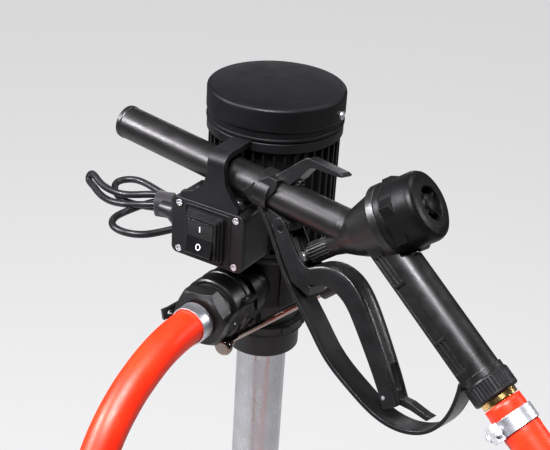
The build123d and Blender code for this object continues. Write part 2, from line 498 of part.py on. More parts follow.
# ================================================================ nozzle (drawn in its own plane, then placed)
VA = math.radians(V_ANG)
vpl = Plane(origin=(0, 0, 0), x_dir=(math.sin(VA), 0, -math.cos(VA)), z_dir=(math.cos(VA), 0, math.sin(VA)))
VL = vpl.location
GA = math.radians(G_ANG)
gpl = Plane(origin=(GB[0], 0, GB[1]), x_dir=(-math.sin(GA), 0, math.cos(GA)), z_dir=(math.cos(GA), 0, math.sin(GA)))
GL = gpl.location                    # local x: upper side of the grip, z: towards the tail


def prism(pts, w, y=0.0):
    """Polygon in the nozzle plane, extruded w/2 to both sides of y."""
    with BuildPart() as p:
        with BuildSketch(Plane.XZ):
            with BuildLine():
                Polyline(*pts, close=True)
            make_face()
        extrude(amount=w / 2, both=True)
    return Pos(0, y, 0) * p.part


# spout tube with a rolled rim
sp = rev([(9.6, -14), (9.6, -SPOUT_L + 4), (10.4, -SPOUT_L + 1.6), (11.4, -SPOUT_L + 0.3),
                       (12.0, -SPOUT_L), (12.7, -SPOUT_L + 0.5), (12.9, -SPOUT_L + 1.5), (12.9, -SPOUT_L + 3.4), (SPOUT_R, -SPOUT_L + 4.2), (SPOUT_R, -14)])
sp = Rot(0, 90, 0) * sp - VL * cyl(3.4, -40, -2)
out("spout_tube", NZL * sp)

# body: valve cone, boss, spout socket and grip in one moulding
cone = rev([(0, -44.0), (5.6, -44.0), (6.5, -43.0), (7.3, -26.0), (9.6, -15.0), (14.2, -6.0), (17.4, 1.0), (23.6, 22.5), (26.2, 23.4), (26.2, 28.8),
            (25.4, 29.3), (0, 29.3)])
ribs = [Rot(0, 0, 18 * i) * Pos(7.1, 0, -28) * Box(1.2, 0.9, 26) for i in range(20)]
body = VL * (cone + ribs)
sock = Rot(0, 90, 0) * rev([(0, -30.0), (9.55, -30.0), (9.55, -14.0), (12.5, -14.0), (12.9, -2.0), (0, 4.0)])
body = body + sock
# grip: round back, straight sides and flat underside
gs = (Circle(GRIP_R) + Pos(-5.0, 0) * Rectangle(10.0, 2 * GRIP_R)) & (Pos(2.0, 0) * Rectangle(24.0 + 0.0, 2 * GRIP_R))
gsk = extrude(gs, GRIP_T)
gr = gsk & cyl(30, -20, GRIP_T + 1)
gr = gr - [Pos(-4.3, sy * (GRIP_R + 0.4), 66) * Box(8.4, 3.2, 44) for sy in (-1, 1)]
for zc, ln in ((31.0, 22.0), (101.5, 23.0)):
    gr = gr - [Pos(xx, sy * (GRIP_R + 0.4), zc) * Box(1.9, 3.6, ln) for sy in (-1, 1) for xx in (-7.6, -4.4, -1.2)]
gr = GL * gr
collar = GL * (cyl(15.2, GRIP_T - 2.5, GRIP_T + 2.0))
teeth = [GL * (Pos(-10.5, 0, 97.0 + 5.0 * i) * (Rot(0, 30, 0) * Box(5.0, 9.0, 3.0))) for i in range(4)]
body = body + gr + collar + teeth
# keep the bonnet seat free of the grip
body = body - VL * cyl(28.4, 29.3, 66)
# flow path
body = body - VL * cyl(18.0, 6.0, 40.0) - VL * cyl(9.0, -8.0, 10.0) - VL * cyl(3.0 + RUN_GAP, -60, 0)
body = body - (Rot(0, 90, 0) * cyl(7.4, -32, 0))
body = body - GL * cyl(6.8, 5.0, GRIP_T + 10)
body = body - GL * cyl(9.45, GRIP_T - 8.0, GRIP_T + 10)
# socket in which the end of the spout sits
body = body - Rot(0, 90, 0) * ring(SPOUT_R, 9.55, -60.0, -14.0)
out("nozzle_body", NZL * body)

# bonnet: washer ring, hexagon and domed cap with a vent in the middle
bn = rev([(17.9, 16.0), (17.9, 29.3), (25.8, 29.3), (25.8, 33.4), (25.0, 34.2), (24.6, 34.2), (24.6, 43.0), (24.9, 43.6),
          (24.9, 52.6), (24.5, 54.8), (23.4, 56.9), (21.2, 58.2), (17.5, 59.0), (12.8, 59.3), (12.1, 58.7), (12.1, 53.2), (0, 53.2), (0, 49.5),
          (14.5, 49.5), (14.5, 16.0)])
hx = Pos(0, 0, 34.2) * extrude(RegularPolygon(27.6, 6, rotation=14), 9.4)
hx = hx & rev([(0, 34.2), (27.6, 34.2), (27.9, 35.0), (27.9, 41.2), (25.2, 43.6), (0, 43.6)])
hx = hx - cyl(20, 30, 50)
bn = bn + hx
web = [Rot(0, 0, 90 * i + 35) * Pos(9.8, 0, 55.4) * Box(5.2, 1.2, 4.6) for i in range(4)]
bn = bn + web + cyl(7.9, 53.0, 55.0)
btn = rev([(0, 55.0), (7.8, 55.0), (7.7, 56.4), (7.1, 57.6), (5.2, 58.9), (2.6, 59.6), (0, 59.8)])
out("valve_bonnet", NZL * (VL * (bn + btn)))

# valve stem, poppet, spring
S_TIP = -53.2
stem = rev([(0, S_TIP), (1.6, S_TIP + 0.35), (2.8, S_TIP + 1.3), (2.95, S_TIP + 2.4), (3.0, S_TIP + 3.0), (3.0, 6.0), (2.0, 6.0), (2.0, 16.0), (0, 16.0)])
# squared end block standing out of the boss
blk = Pos(0, 0, S_TIP + 2.2) * Box(7.0, 7.0, 3.4, align=A_MIN)
stem = stem + blk
out("valve_stem", NZL * (VL * stem))
out("valve_poppet", NZL * (VL * rev([(2.0, 6.0), (12.5, 6.0), (14.0, 7.4), (14.0, 10.0), (6.0, 11.0), (5.0, 15.0), (2.0, 15.0)])))
sp_line = Helix(pitch=4.6, height=36.0, radius=9.6)
spr = sweep(Plane(origin=sp_line @ 0, z_dir=sp_line % 0) * Circle(0.9), path=sp_line)
out("valve_spring", NZL * (VL * (Pos(0, 0, 12.0) * spr)))

# guard: sleeve on the spout, band below the trigger, hook above
SL0, SL1 = -83.0, -71.0
outer = [(-82.0, -6.0), (-77.7, -10.5), (-63.8, -23.8), (-44.3, -46.4), (-28.5, -61.0), (-10.7, -75.5), (6.8, -89.8), (34.4, -103.7),
         (60.0, -112.0), (82.0, -111.0), (98.0, -102.0), (106.5, -88.0), (109.0, -74.0), (108.4, -60.0)]


def offset_path(pts, dd):
    res = []
    n = len(pts)
    for i, p in enumerate(pts):
        a = pts[max(i - 1, 0)]
        b = pts[min(i + 1, n - 1)]
        tx, tz = b[0] - a[0], b[1] - a[1]
        L = math.hypot(tx, tz)
        res.append((p[0] - tz / L * dd, p[1] + tx / L * dd))
    return res


def band(pts, t, w):
    """Curved band through pts, t thick to the left of the path."""
    inner_p = offset_path(pts, t)
    with BuildPart() as p:
        with BuildSketch(Plane.XZ):
            with BuildLine():
                s1 = Spline(*pts)
                s2 = Spline(*inner_p)
                Line(pts[0], inner_p[0])
                Line(pts[-1], inner_p[-1])
            make_face()
        extrude(amount=w / 2, both=True)
    return p.part


grd = band(outer, 2.6, GUARD_W)
grd = grd + (Rot(0, 90, 0) * cyl(15.4, SL0, SL1))
hook = prism([(-84.0, 5.0), (-70.5, 16.5), (-54.5, 34.0), (-52.2, 35.2), (-49.5, 35.0), (-25.2, 34.6), (-22.5, 33.8), (-22.8, 32.3),
              (-25.6, 31.6), (-45.5, 30.0), (-48.8, 28.8), (-51.2, 25.2), (-54.6, 18.8), (-62.0, 9.5), (-69.5, 3.0), (-76.0, 3.0)], 12.5)
hook = hook + prism([(-91.5, -4.0), (-84.0, 5.0), (-74.0, 13.4), (-66.5, 12.8), (-66.0, 6.0), (-71.0, -3.0), (-76.0, -9.0), (-84.0, -9.0)], 27.6)
grd = grd + hook
grd = grd + prism([(-74, 9.5), (-56, 9.5), (-54.5, 11.0), (-54.5, 14.0), (-60, 14.0), (-74, 15.0)], 8.0)
# lug that carries the trigger pin
grd = grd + prism([(-72.0, -10.0), (-51.5, -13.3), (-48.9, -18.5), (-51.5, -23.4), (-55.5, -24.0), (-61.0, -24.0), (-70.0, -18.0)], 17.0)
# foot on the grip's tail
grd = grd - (Rot(0, 90, 0) * cyl(SPOUT_R + 0.02, -120, -40))
grd = grd - Pos(PIV[0], 0, PIV[1]) * Rot(90, 0, 0) * Cylinder(2.5, 40)
tail_clear = GL * (bx(-10.0, 14.0, -GRIP_R, GRIP_R, 90, GRIP_T + 20))
grd = grd - tail_clear - GL * cyl(15.3, GRIP_T - 2.6, GRIP_T + 30) - GL * cyl(17.2, GRIP_T + 1.9, GRIP_T + 40)
grd = grd - Pos(-59.0, 0, 12.0) * Cylinder(1.5, 14) - Pos(-59.0, 0, 14.0) * Cylinder(3.0, 3.0, align=A_MIN)
out("trigger_guard", NZL * grd)
gsn = Pos(-59.0, 0, SPOUT_R + 0.05) * Cylinder(1.5, 1.5, align=A_MIN) + Pos(-59.0, 0, 14.0) * (Cylinder(2.8, 1.6, align=A_MIN) - Pos(0, 0, 0.8) * Box(4, 0.7, 1.2, align=A_MIN))
out("guard_screw", NZL * gsn)
out("trigger_pin", NZL * (Pos(PIV[0], 0, PIV[1]) * Rot(90, 0, 0) * Cylinder(2.5, LEV_W - 0.6)))

# trigger lever: cheeks round the pivot, web under the stem, arched bar along the hand
CH = 2.2
cheek = [(-59.5, -12.6), (-56.5, -11.6), (-52.6, -13.6), (-41.8, -25.2), (-34.3, -32.2), (-27.2, -35.8), (-19.8, -36.2), (-10.0, -34.6),
         (-10.0, -43.0), (-20.0, -46.6), (-28.0, -52.4), (-33.5, -50.6), (-44.0, -40.2), (-53.0, -29.8), (-61.4, -20.0), (-61.6, -15.4)]
lev = prism(cheek, CH, y=(LEV_W - CH) / 2) + prism(cheek, CH, y=-(LEV_W - CH) / 2)
# web: its upper face touches the stem, square to the valve axis
vx, vz = math.cos(VA), math.sin(VA)


def vp(s, q):
    """Point at s along the valve axis and q to its lower right side."""
    return (s * vx + q * vz, s * vz - q * vx)


STOP = S_TIP - 0.06
lev = lev + prism([vp(STOP, -16.0), vp(STOP, 9.0), vp(STOP + 2.0, 17.0), vp(STOP + 7.0, 22.0), vp(STOP + 2.0, 27.0), vp(STOP - 4.0, 17.0),
                   vp(STOP - 3.2, 6.0), vp(STOP - 3.2, -16.0)], LEV_W - 1.0)
E = [(-24.4, -37.3, 2.0, 7.6), (-14.8, -35.2, 6.5, 8.0), (-4.4, -33.5, 7.8, 8.4), (6.6, -36.1, 8.3, 8.2), (17.4, -43.2, 7.9, 7.4),
     (30.7, -57.5, 8.2, 6.4), (51.6, -81.7, 7.6, 5.4), (66.0, -100.0, 7.0, 5.0)]


def lev_sections(shrink):
    secs = []
    fine = []
    for i in range(len(E) - 1):
        q0, q1, q2, q3 = E[max(i - 1, 0)], E[i], E[i + 1], E[min(i + 2, len(E) - 1)]
        for k in range(3):
            t = k / 3.0
            fine.append(tuple(0.5 * (2 * q1[m] + (q2[m] - q0[m]) * t + (2 * q0[m] - 5 * q1[m] + 4 * q2[m] - q3[m]) * t * t
                                     + (3 * q1[m] - q0[m] - 3 * q2[m] + q3[m]) * t ** 3) for m in range(4)))
    fine.append(E[-1])
    for i, (a, c, up, dn) in enumerate(fine):
        p0 = fine[max(i - 1, 0)]
        p1 = fine[min(i + 1, len(fine) - 1)]
        t = Vector(p1[0] - p0[0], 0, p1[1] - p0[1]).normalized()
        n = Vector(-t.Z, 0, t.X)
        pl = Plane(origin=(a, 0, c), x_dir=(0, 1, 0), z_dir=t)
        sg = 1 if (pl.y_dir.dot(n) > 0) else -1
        hw = LEV_W / 2 - shrink
        u = max(up - shrink, 0.6)
        with BuildSketch(pl) as s:
            with BuildLine():
                Polyline((-hw, 0), (-hw, -sg * (dn + (0.8 if shrink else 0))), (hw, -sg * (dn + (0.8 if shrink else 0))), (hw, 0))
                Spline((hw, 0), (hw * 0.72, sg * u * 0.72), (0, sg * u), (-hw * 0.72, sg * u * 0.72), (-hw, 0),
                       tangents=[(0, sg * 1.0), (0, -sg * 1.0)])
            make_face()
        secs.append(s.sketch.faces()[0])
    return secs


bar_o = loft(lev_sections(0.0), ruled=True)
bar_i = loft(lev_sections(2.4), ruled=True)
bar_i = bar_i - prism([(58, -102), (74, -90), (80, -110), (64, -118)], 60)
bar_i = bar_i - prism([(-40, -20), (-18.5, -20), (-18.5, -60), (-40, -60)], 60)
lev = lev + (bar_o - bar_i)
lev = lev - Pos(PIV[0], 0, PIV[1]) * Rot(90, 0, 0) * Cylinder(2.5 + RUN_GAP, 60)
LAT = (59.0, -95.5)
# slot for the latch and its pin at the free end
lev = lev - prism([(49.0, -99.0), (50.0, -78.0), (62.0, -66.0), (90.0, -96.0), (70.0, -116.0)], 9.0)
lev = lev - Pos(LAT[0], 0, LAT[1]) * Rot(90, 0, 0) * Cylinder(1.5, 40)
out("trigger_lever", NZL * lev)
out("latch_pin", NZL * (Pos(LAT[0], 0, LAT[1]) * Rot(90, 0, 0) * Cylinder(1.5, LEV_W - 0.4)))
lt = prism([(56.0, -96.5), (57.0, -92.6), (60.0, -91.8), (70.0, -82.0), (81.0, -75.0), (84.6, -72.0), (85.0, -76.5), (74.0, -84.6), (63.0, -95.2), (61.6, -98.4), (58.0, -98.8)], 8.0)
lt = Pos(LAT[0], 0, LAT[1]) * Rot(0, 42, 0) * Pos(-LAT[0], 0, -LAT[1]) * lt
lt = lt - Pos(LAT[0], 0, LAT[1]) * Rot(90, 0, 0) * Cylinder(1.5 + RUN_GAP, 20)
out("hold_open_latch", NZL * lt)

# swivel at the grip's tail
tail = GL * (ring(9.4, 7.4, GRIP_T - 7.5, GRIP_T + 6.0) + ring(11.45, 7.4, GRIP_T + 3.0, GRIP_T + 8.0) + ring(9.0, 7.4, GRIP_T + 6.0, GRIP_T + 52.0) + ring(13.0, 7.4, GRIP_T + 16.2, GRIP_T + 20.0))
out("hose_tail", NZL * tail)
sw = rev([(11.5, GRIP_T + 2.0), (15.6, GRIP_T + 2.0), (16.4, GRIP_T + 3.4), (16.4, GRIP_T + 15.0), (15.4, GRIP_T + 16.0), (11.5, GRIP_T + 16.0)])
sw = sw - [Rot(0, 0, 10 * i) * Pos(16.7, 0, GRIP_T + 9) * (Rot(0, 0, 45) * Box(1.5, 1.5, 10)) for i in range(36)]
out("swivel_ring", NZL * (GL * sw))
t_o = nzp(*gpt(GRIP_T + 30.0))
tb, ts = clampband(t_o, tuple(h_dir), 11.0, 120)
out("tail_clamp", Compound(children=group([tb, ts])))
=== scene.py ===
import bpy, bmesh, math, json
import numpy as np
from mathutils import Vector, Matrix


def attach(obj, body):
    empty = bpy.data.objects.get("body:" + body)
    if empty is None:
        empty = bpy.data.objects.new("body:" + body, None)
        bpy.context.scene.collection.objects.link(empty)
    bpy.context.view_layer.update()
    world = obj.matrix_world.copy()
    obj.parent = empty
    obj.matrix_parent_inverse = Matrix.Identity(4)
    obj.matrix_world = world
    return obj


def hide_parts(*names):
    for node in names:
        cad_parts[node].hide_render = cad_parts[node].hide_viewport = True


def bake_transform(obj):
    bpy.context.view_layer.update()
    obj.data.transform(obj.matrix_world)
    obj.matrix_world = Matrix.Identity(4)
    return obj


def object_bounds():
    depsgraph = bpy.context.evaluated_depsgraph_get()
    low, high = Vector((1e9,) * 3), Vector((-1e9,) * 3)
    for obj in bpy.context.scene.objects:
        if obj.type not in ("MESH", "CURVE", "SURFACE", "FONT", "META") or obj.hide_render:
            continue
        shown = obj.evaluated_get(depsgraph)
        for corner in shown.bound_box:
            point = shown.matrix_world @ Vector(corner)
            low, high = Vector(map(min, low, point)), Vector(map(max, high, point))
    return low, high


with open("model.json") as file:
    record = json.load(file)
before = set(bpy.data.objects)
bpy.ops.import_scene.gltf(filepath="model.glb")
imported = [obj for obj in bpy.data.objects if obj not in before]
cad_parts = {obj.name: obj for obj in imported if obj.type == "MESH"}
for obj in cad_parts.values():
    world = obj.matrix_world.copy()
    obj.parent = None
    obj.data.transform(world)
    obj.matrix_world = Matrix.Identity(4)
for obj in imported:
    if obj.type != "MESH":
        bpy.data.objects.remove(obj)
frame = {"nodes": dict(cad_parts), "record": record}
cad_lo, cad_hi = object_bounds()
NODES = frame["nodes"]
MM = 0.001


# ---------------------------------------------------------------- materials
def new_mat(name):
    m = bpy.data.materials.new(name)
    m.use_nodes = True
    nt = m.node_tree
    nt.nodes.clear()
    out = nt.nodes.new("ShaderNodeOutputMaterial")
    bs = nt.nodes.new("ShaderNodeBsdfPrincipled")
    nt.links.new(bs.outputs["BSDF"], out.inputs["Surface"])
    return m, nt, bs


def setin(node, key, val):
    if key in node.inputs:
        node.inputs[key].default_value = val


def coords(nt, scale=(1, 1, 1)):
    tc = nt.nodes.new("ShaderNodeTexCoord")
    mp = nt.nodes.new("ShaderNodeMapping")
    mp.inputs["Scale"].default_value = scale
    nt.links.new(tc.outputs["Object"], mp.inputs["Vector"])
    return mp.outputs["Vector"]


def noise_tex(nt, vec, scale, detail=4.0, rough=0.5):
    n = nt.nodes.new("ShaderNodeTexNoise")
    n.inputs["Scale"].default_value = scale
    n.inputs["Detail"].default_value = detail
    n.inputs["Roughness"].default_value = rough
    nt.links.new(vec, n.inputs["Vector"])
    return n.outputs["Fac"]


def maprange(nt, val, a, b, c, d):
    m = nt.nodes.new("ShaderNodeMapRange")
    m.inputs["From Min"].default_value = a
    m.inputs["From Max"].default_value = b
    m.inputs["To Min"].default_value = c
    m.inputs["To Max"].default_value = d
    nt.links.new(val, m.inputs["Value"])
    return m.outputs["Result"]


def math_node(nt, op, a, b):
    m = nt.nodes.new("ShaderNodeMath")
    m.operation = op
    for i, v in enumerate((a, b)):
        if isinstance(v, (int, float)):
            m.inputs[i].default_value = v
        else:
            nt.links.new(v, m.inputs[i])
    return m.outputs[0]


def mix_col(nt, fac, a, b):
    m = nt.nodes.new("ShaderNodeMix")
    m.data_type = "RGBA"
    if isinstance(fac, (int, float)):
        m.inputs[0].default_value = fac
    else:
        nt.links.new(fac, m.inputs[0])
    for i, v in ((6, a), (7, b)):
        if isinstance(v, (tuple, list)):
            m.inputs[i].default_value = (*v[:3], 1.0)
        else:
            nt.links.new(v, m.inputs[i])
    return m.outputs[2]


def finish_mat(name, base, rough, metal=0.0, var=0.25, var_scale=30.0, grain=0.15, grain_scale=2200.0, grain_dist=0.00004,
               rvar=0.08, edge=0.0006, wear=0.0, wear_col=(0.3, 0.3, 0.3), spec=0.5, coat=0.0, coat_rough=0.2,
               stretch=(1, 1, 1), dust=0.0, dust_col=(0.45, 0.43, 0.40), bump2=0.0, bump2_scale=60.0, sheen=0.0, ridge=None):
    """Plastic, paint or metal: colour drift, roughness speckle, grain bump, softened edges with wear, fine dust."""
    m, nt, bs = new_mat(name)
    v = coords(nt, stretch)
    vo = coords(nt)
    low = noise_tex(nt, vo, var_scale, 5.0, 0.6)
    dark = tuple(c * (1 - var) for c in base)
    lite = tuple(min(1.0, c * (1 + var) + 0.002) for c in base)
    col = mix_col(nt, maprange(nt, low, 0.3, 0.7, 0.0, 1.0), dark, lite)
    fine = noise_tex(nt, v, grain_scale, 3.0, 0.55)
    normal = None
    if edge > 0:
        bev = nt.nodes.new("ShaderNodeBevel")
        bev.samples = 6
        bev.inputs["Radius"].default_value = edge
        normal = bev.outputs["Normal"]
        if wear > 0:
            geo = nt.nodes.new("ShaderNodeNewGeometry")
            dot = nt.nodes.new("ShaderNodeVectorMath")
            dot.operation = "DOT_PRODUCT"
            nt.links.new(bev.outputs["Normal"], dot.inputs[0])
            nt.links.new(geo.outputs["Normal"], dot.inputs[1])
            e = maprange(nt, dot.outputs["Value"], 0.97, 0.80, 0.0, 1.0)
            brk = maprange(nt, noise_tex(nt, vo, 160.0, 4.0, 0.7), 0.42, 0.62, 0.0, 1.0)
            col = mix_col(nt, math_node(nt, "MULTIPLY", math_node(nt, "MULTIPLY", e, brk), wear), col, wear_col)
    if dust > 0:
        geo2 = nt.nodes.new("ShaderNodeNewGeometry")
        sep = nt.nodes.new("ShaderNodeSeparateXYZ")
        nt.links.new(geo2.outputs["Normal"], sep.inputs[0])
        up = maprange(nt, sep.outputs["Z"], 0.2, 1.0, 0.0, 1.0)
        sp = maprange(nt, noise_tex(nt, vo, 900.0, 2.0, 0.5), 0.60, 0.78, 0.0, 1.0)
        sm = maprange(nt, noise_tex(nt, vo, 42.0, 5.0, 0.65), 0.42, 0.75, 0.12, 1.0)
        col = mix_col(nt, math_node(nt, "MULTIPLY", math_node(nt, "MULTIPLY", up, math_node(nt, "MAXIMUM", sp, math_node(nt, "MULTIPLY", sm, 0.35))), dust), col, dust_col)
    nt.links.new(col, bs.inputs["Base Color"])
    rr = maprange(nt, noise_tex(nt, vo, var_scale * 2.3, 6.0, 0.65), 0.3, 0.7, rough - rvar, rough + rvar)
    rr2 = math_node(nt, "ADD", rr, maprange(nt, fine, 0.3, 0.7, -rvar * 0.6, rvar * 0.6))
    nt.links.new(rr2, bs.inputs["Roughness"])
    setin(bs, "Metallic", metal)
    setin(bs, "Specular IOR Level", spec)
    setin(bs, "Coat Weight", coat)
    setin(bs, "Coat Roughness", coat_rough)
    setin(bs, "Sheen Weight", sheen)
    h = fine
    if ridge:
        w = nt.nodes.new("ShaderNodeTexWave")
        w.wave_type = "BANDS"
        w.bands_direction = ridge[0]
        w.inputs["Scale"].default_value = ridge[1]
        w.inputs["Distortion"].default_value = ridge[2]
        nt.links.new(vo, w.inputs["Vector"])
        h = math_node(nt, "ADD", math_node(nt, "MULTIPLY", fine, 0.5), math_node(nt, "MULTIPLY", w.outputs["Fac"], ridge[3]))
    b1 = nt.nodes.new("ShaderNodeBump")
    b1.inputs["Strength"].default_value = grain
    b1.inputs["Distance"].default_value = grain_dist
    nt.links.new(h, b1.inputs["Height"])
    if normal is not None:
        nt.links.new(normal, b1.inputs["Normal"])
    last = b1
    if bump2 > 0:
        b2 = nt.nodes.new("ShaderNodeBump")
        b2.inputs["Strength"].default_value = bump2
        b2.inputs["Distance"].default_value = 0.0004
        nt.links.new(noise_tex(nt, vo, bump2_scale, 3.0, 0.5), b2.inputs["Height"])
        nt.links.new(b1.outputs["Normal"], b2.inputs["Normal"])
        last = b2
    nt.links.new(last.outputs["Normal"], bs.inputs["Normal"])
    return m


M = {}
M["cowl_black"] = finish_mat("cowl_black", (0.008, 0.008, 0.009), 0.44, var=0.2, grain=0.55, grain_scale=1500, grain_dist=0.00006,
                             edge=0.0007, wear=0.15, wear_col=(0.08, 0.08, 0.085), dust=0.01, spec=0.27)
M["housing_black"] = finish_mat("housing_black", (0.010, 0.010, 0.011), 0.34, var=0.25, grain=0.35, grain_scale=1100,
                                grain_dist=0.00005, edge=0.0005, wear=0.2, wear_col=(0.07, 0.07, 0.075), dust=0.02, bump2=0.08, spec=0.38)
M["cast_black"] = finish_mat("cast_black", (0.012, 0.012, 0.013), 0.40, var=0.25, grain=0.6, grain_scale=900, grain_dist=0.00007,
                             edge=0.0007, wear=0.4, wear_col=(0.16, 0.16, 0.165), dust=0.02, bump2=0.1, bump2_scale=120, spec=0.36)
M["box_plastic"] = finish_mat("box_plastic", (0.011, 0.011, 0.012), 0.45, var=0.2, grain=0.45, grain_scale=1700, grain_dist=0.00004,
                              edge=0.0005, wear=0.5, wear_col=(0.11, 0.11, 0.115), dust=0.03, spec=0.40)
M["nozzle_plastic"] = finish_mat("nozzle_plastic", (0.010, 0.0098, 0.0098), 0.37, var=0.22, grain=0.75, grain_scale=1250,
                                 grain_dist=0.00007, edge=0.0006, wear=0.35, wear_col=(0.12, 0.115, 0.11), dust=0.03, spec=0.64,
                                 dust_col=(0.30, 0.28, 0.26))
M["bonnet_plastic"] = finish_mat("bonnet_plastic", (0.007, 0.007, 0.0073), 0.42, var=0.22, grain=0.6, grain_scale=1250,
                                 grain_dist=0.00006, edge=0.0007, wear=0.4, wear_col=(0.12, 0.12, 0.12), dust=0.01, spec=0.22)
M["guard_plastic"] = finish_mat("guard_plastic", (0.012, 0.012, 0.0125), 0.33, var=0.2, grain=0.45, grain_scale=1250,
                                grain_dist=0.00005, edge=0.0009, wear=0.5, wear_col=(0.16, 0.16, 0.165), dust=0.06)
M["rocker_plastic"] = finish_mat("rocker_plastic", (0.010, 0.010, 0.011), 0.22, var=0.2, grain=0.2, grain_scale=1400, grain_dist=0.00002,
                                 edge=0.0005, wear=0.2, wear_col=(0.08, 0.08, 0.08), coat=0.3, coat_rough=0.15, dust=0.05)
M["cable_rubber"] = finish_mat("cable_rubber", (0.015, 0.015, 0.017), 0.38, var=0.3, var_scale=60, grain=0.4, grain_scale=1300,
                               grain_dist=0.00004, edge=0.0005, dust=0.08, bump2=0.1, bump2_scale=140)
M["seal_rubber"] = finish_mat("seal_rubber", (0.012, 0.012, 0.012), 0.6, var=0.3, grain=0.5, grain_scale=1300, edge=0.0004, dust=0.08)
M["zinc_steel"] = finish_mat("zinc_steel", (0.66, 0.675, 0.705), 0.46, metal=1.0, var=0.07, var_scale=45, grain=0.12, grain_scale=1500,
                             grain_dist=0.00001, rvar=0.05, edge=0.0004, wear=0.15, wear_col=(0.6, 0.6, 0.62), stretch=(1, 1, 0.1))
M["chrome_steel"] = finish_mat("chrome_steel", (0.27, 0.235, 0.21), 0.13, metal=1.0, var=0.05, var_scale=70, grain=0.05, grain_scale=900,
                               grain_dist=0.00001, rvar=0.03, edge=0.0004, wear=0.2, wear_col=(0.7, 0.68, 0.65))
M["black_screw"] = finish_mat("black_screw", (0.022, 0.022, 0.024), 0.28, metal=0.6, var=0.15, var_scale=120, grain=0.2, grain_scale=1500,
                              grain_dist=0.00002, rvar=0.05, edge=0.0003, wear=0.4, wear_col=(0.22, 0.22, 0.23))
M["tube_aluminium"] = finish_mat("tube_aluminium", (0.46, 0.47, 0.485), 0.30, metal=1.0, var=0.08, var_scale=18, grain=0.35, grain_scale=900,
                                 grain_dist=0.00002, rvar=0.08, edge=0.0003, stretch=(1, 1, 0.01))
M["laminations"] = finish_mat("laminations", (0.26, 0.26, 0.28), 0.42, metal=1.0, var=0.15, grain=0.6, grain_scale=800, edge=0.0,
                              grain_dist=0.0001, ridge=("Z", 320.0, 0.2, 0.8))
M["copper_wire"] = finish_mat("copper_wire", (0.50, 0.20, 0.08), 0.30, metal=0.9, var=0.2, grain=0.9, grain_scale=500, edge=0.0,
                              grain_dist=0.0003, ridge=("Z", 260.0, 1.5, 1.0))
M["brass_parts"] = finish_mat("brass_parts", (0.60, 0.44, 0.20), 0.25, metal=1.0, var=0.12, grain=0.2, grain_scale=900, edge=0.0003,
                              grain_dist=0.00002, stretch=(1, 1, 0.2))
M["fan_plastic"] = finish_mat("fan_plastic", (0.05, 0.05, 0.055), 0.45, var=0.2, grain=0.3, edge=0.0004, dust=0.2)
M["capacitor_case"] = finish_mat("capacitor_case", (0.55, 0.55, 0.52), 0.4, var=0.08, grain=0.3, edge=0.0004)
M["bush_plastic"] = finish_mat("bush_plastic", (0.68, 0.66, 0.60), 0.42, var=0.08, grain=0.3, edge=0.0004)
M["stem_grey"] = finish_mat("stem_grey", (0.42, 0.42, 0.43), 0.36, metal=0.85, var=0.12, var_scale=120, grain=0.4, grain_scale=900,
                            grain_dist=0.00003, edge=0.0004, wear=0.4, wear_col=(0.7, 0.7, 0.7))
M["mark_white"] = finish_mat("mark_white", (0.78, 0.79, 0.80), 0.35, var=0.05, grain=0.2, grain_scale=1500, edge=0.0001, grain_dist=0.00001)
M["strap_black"] = finish_mat("strap_black", (0.020, 0.018, 0.024), 0.62, var=0.3, var_scale=90, grain=0.8, grain_scale=700,
                              grain_dist=0.00012, edge=0.0, sheen=0.3, ridge=("X", 420.0, 0.6, 0.5))


def hose_material():
    m, nt, bs = new_mat("hose_red")
    vo = coords(nt)
    low = noise_tex(nt, vo, 22.0, 5.0, 0.6)
    col = mix_col(nt, maprange(nt, low, 0.3, 0.7, 0.0, 1.0), (0.74, 0.030, 0.008), (0.88, 0.060, 0.016))
    # faint mottling of the reinforcement layer under the skin
    uv = nt.nodes.new("ShaderNodeUVMap")
    mp = nt.nodes.new("ShaderNodeMapping")
    mp.inputs["Scale"].default_value = (26.0, 230.0, 1.0)
    mp.inputs["Rotation"].default_value = (0, 0, 0.0)
    nt.links.new(uv.outputs["UV"], mp.inputs["Vector"])
    ch = nt.nodes.new("ShaderNodeTexVoronoi")
    ch.feature = "F1"
    ch.inputs["Scale"].default_value = 1.0
    nt.links.new(mp.outputs["Vector"], ch.inputs["Vector"])
    br = maprange(nt, ch.outputs["Distance"], 0.1, 0.8, 0.0, 0.10)
    col = mix_col(nt, br, col, (0.62, 0.020, 0.006))
    sc = maprange(nt, noise_tex(nt, vo, 420.0, 3.0, 0.6), 0.60, 0.80, 0.0, 0.22)
    col = mix_col(nt, sc, col, (0.80, 0.22, 0.14))
    nt.links.new(col, bs.inputs["Base Color"])
    rr = maprange(nt, noise_tex(nt, vo, 60.0, 6.0, 0.65), 0.3, 0.7, 0.34, 0.48)
    nt.links.new(rr, bs.inputs["Roughness"])
    setin(bs, "Subsurface Weight", 0.10)
    setin(bs, "Subsurface Radius", (0.006, 0.0015, 0.0008))
    setin(bs, "Subsurface Scale", 0.5)
    b1 = nt.nodes.new("ShaderNodeBump")
    b1.inputs["Strength"].default_value = 0.25
    b1.inputs["Distance"].default_value = 0.00005
    nt.links.new(noise_tex(nt, vo, 900.0, 3.0, 0.5), b1.inputs["Height"])
    b2 = nt.nodes.new("ShaderNodeBump")
    b2.inputs["Strength"].default_value = 0.10
    b2.inputs["Distance"].default_value = 0.0003
    nt.links.new(ch.outputs["Distance"], b2.inputs["Height"])
    nt.links.new(b1.outputs["Normal"], b2.inputs["Normal"])
    nt.links.new(b2.outputs["Normal"], bs.inputs["Normal"])
    return m


M["hose_red"] = hose_material()



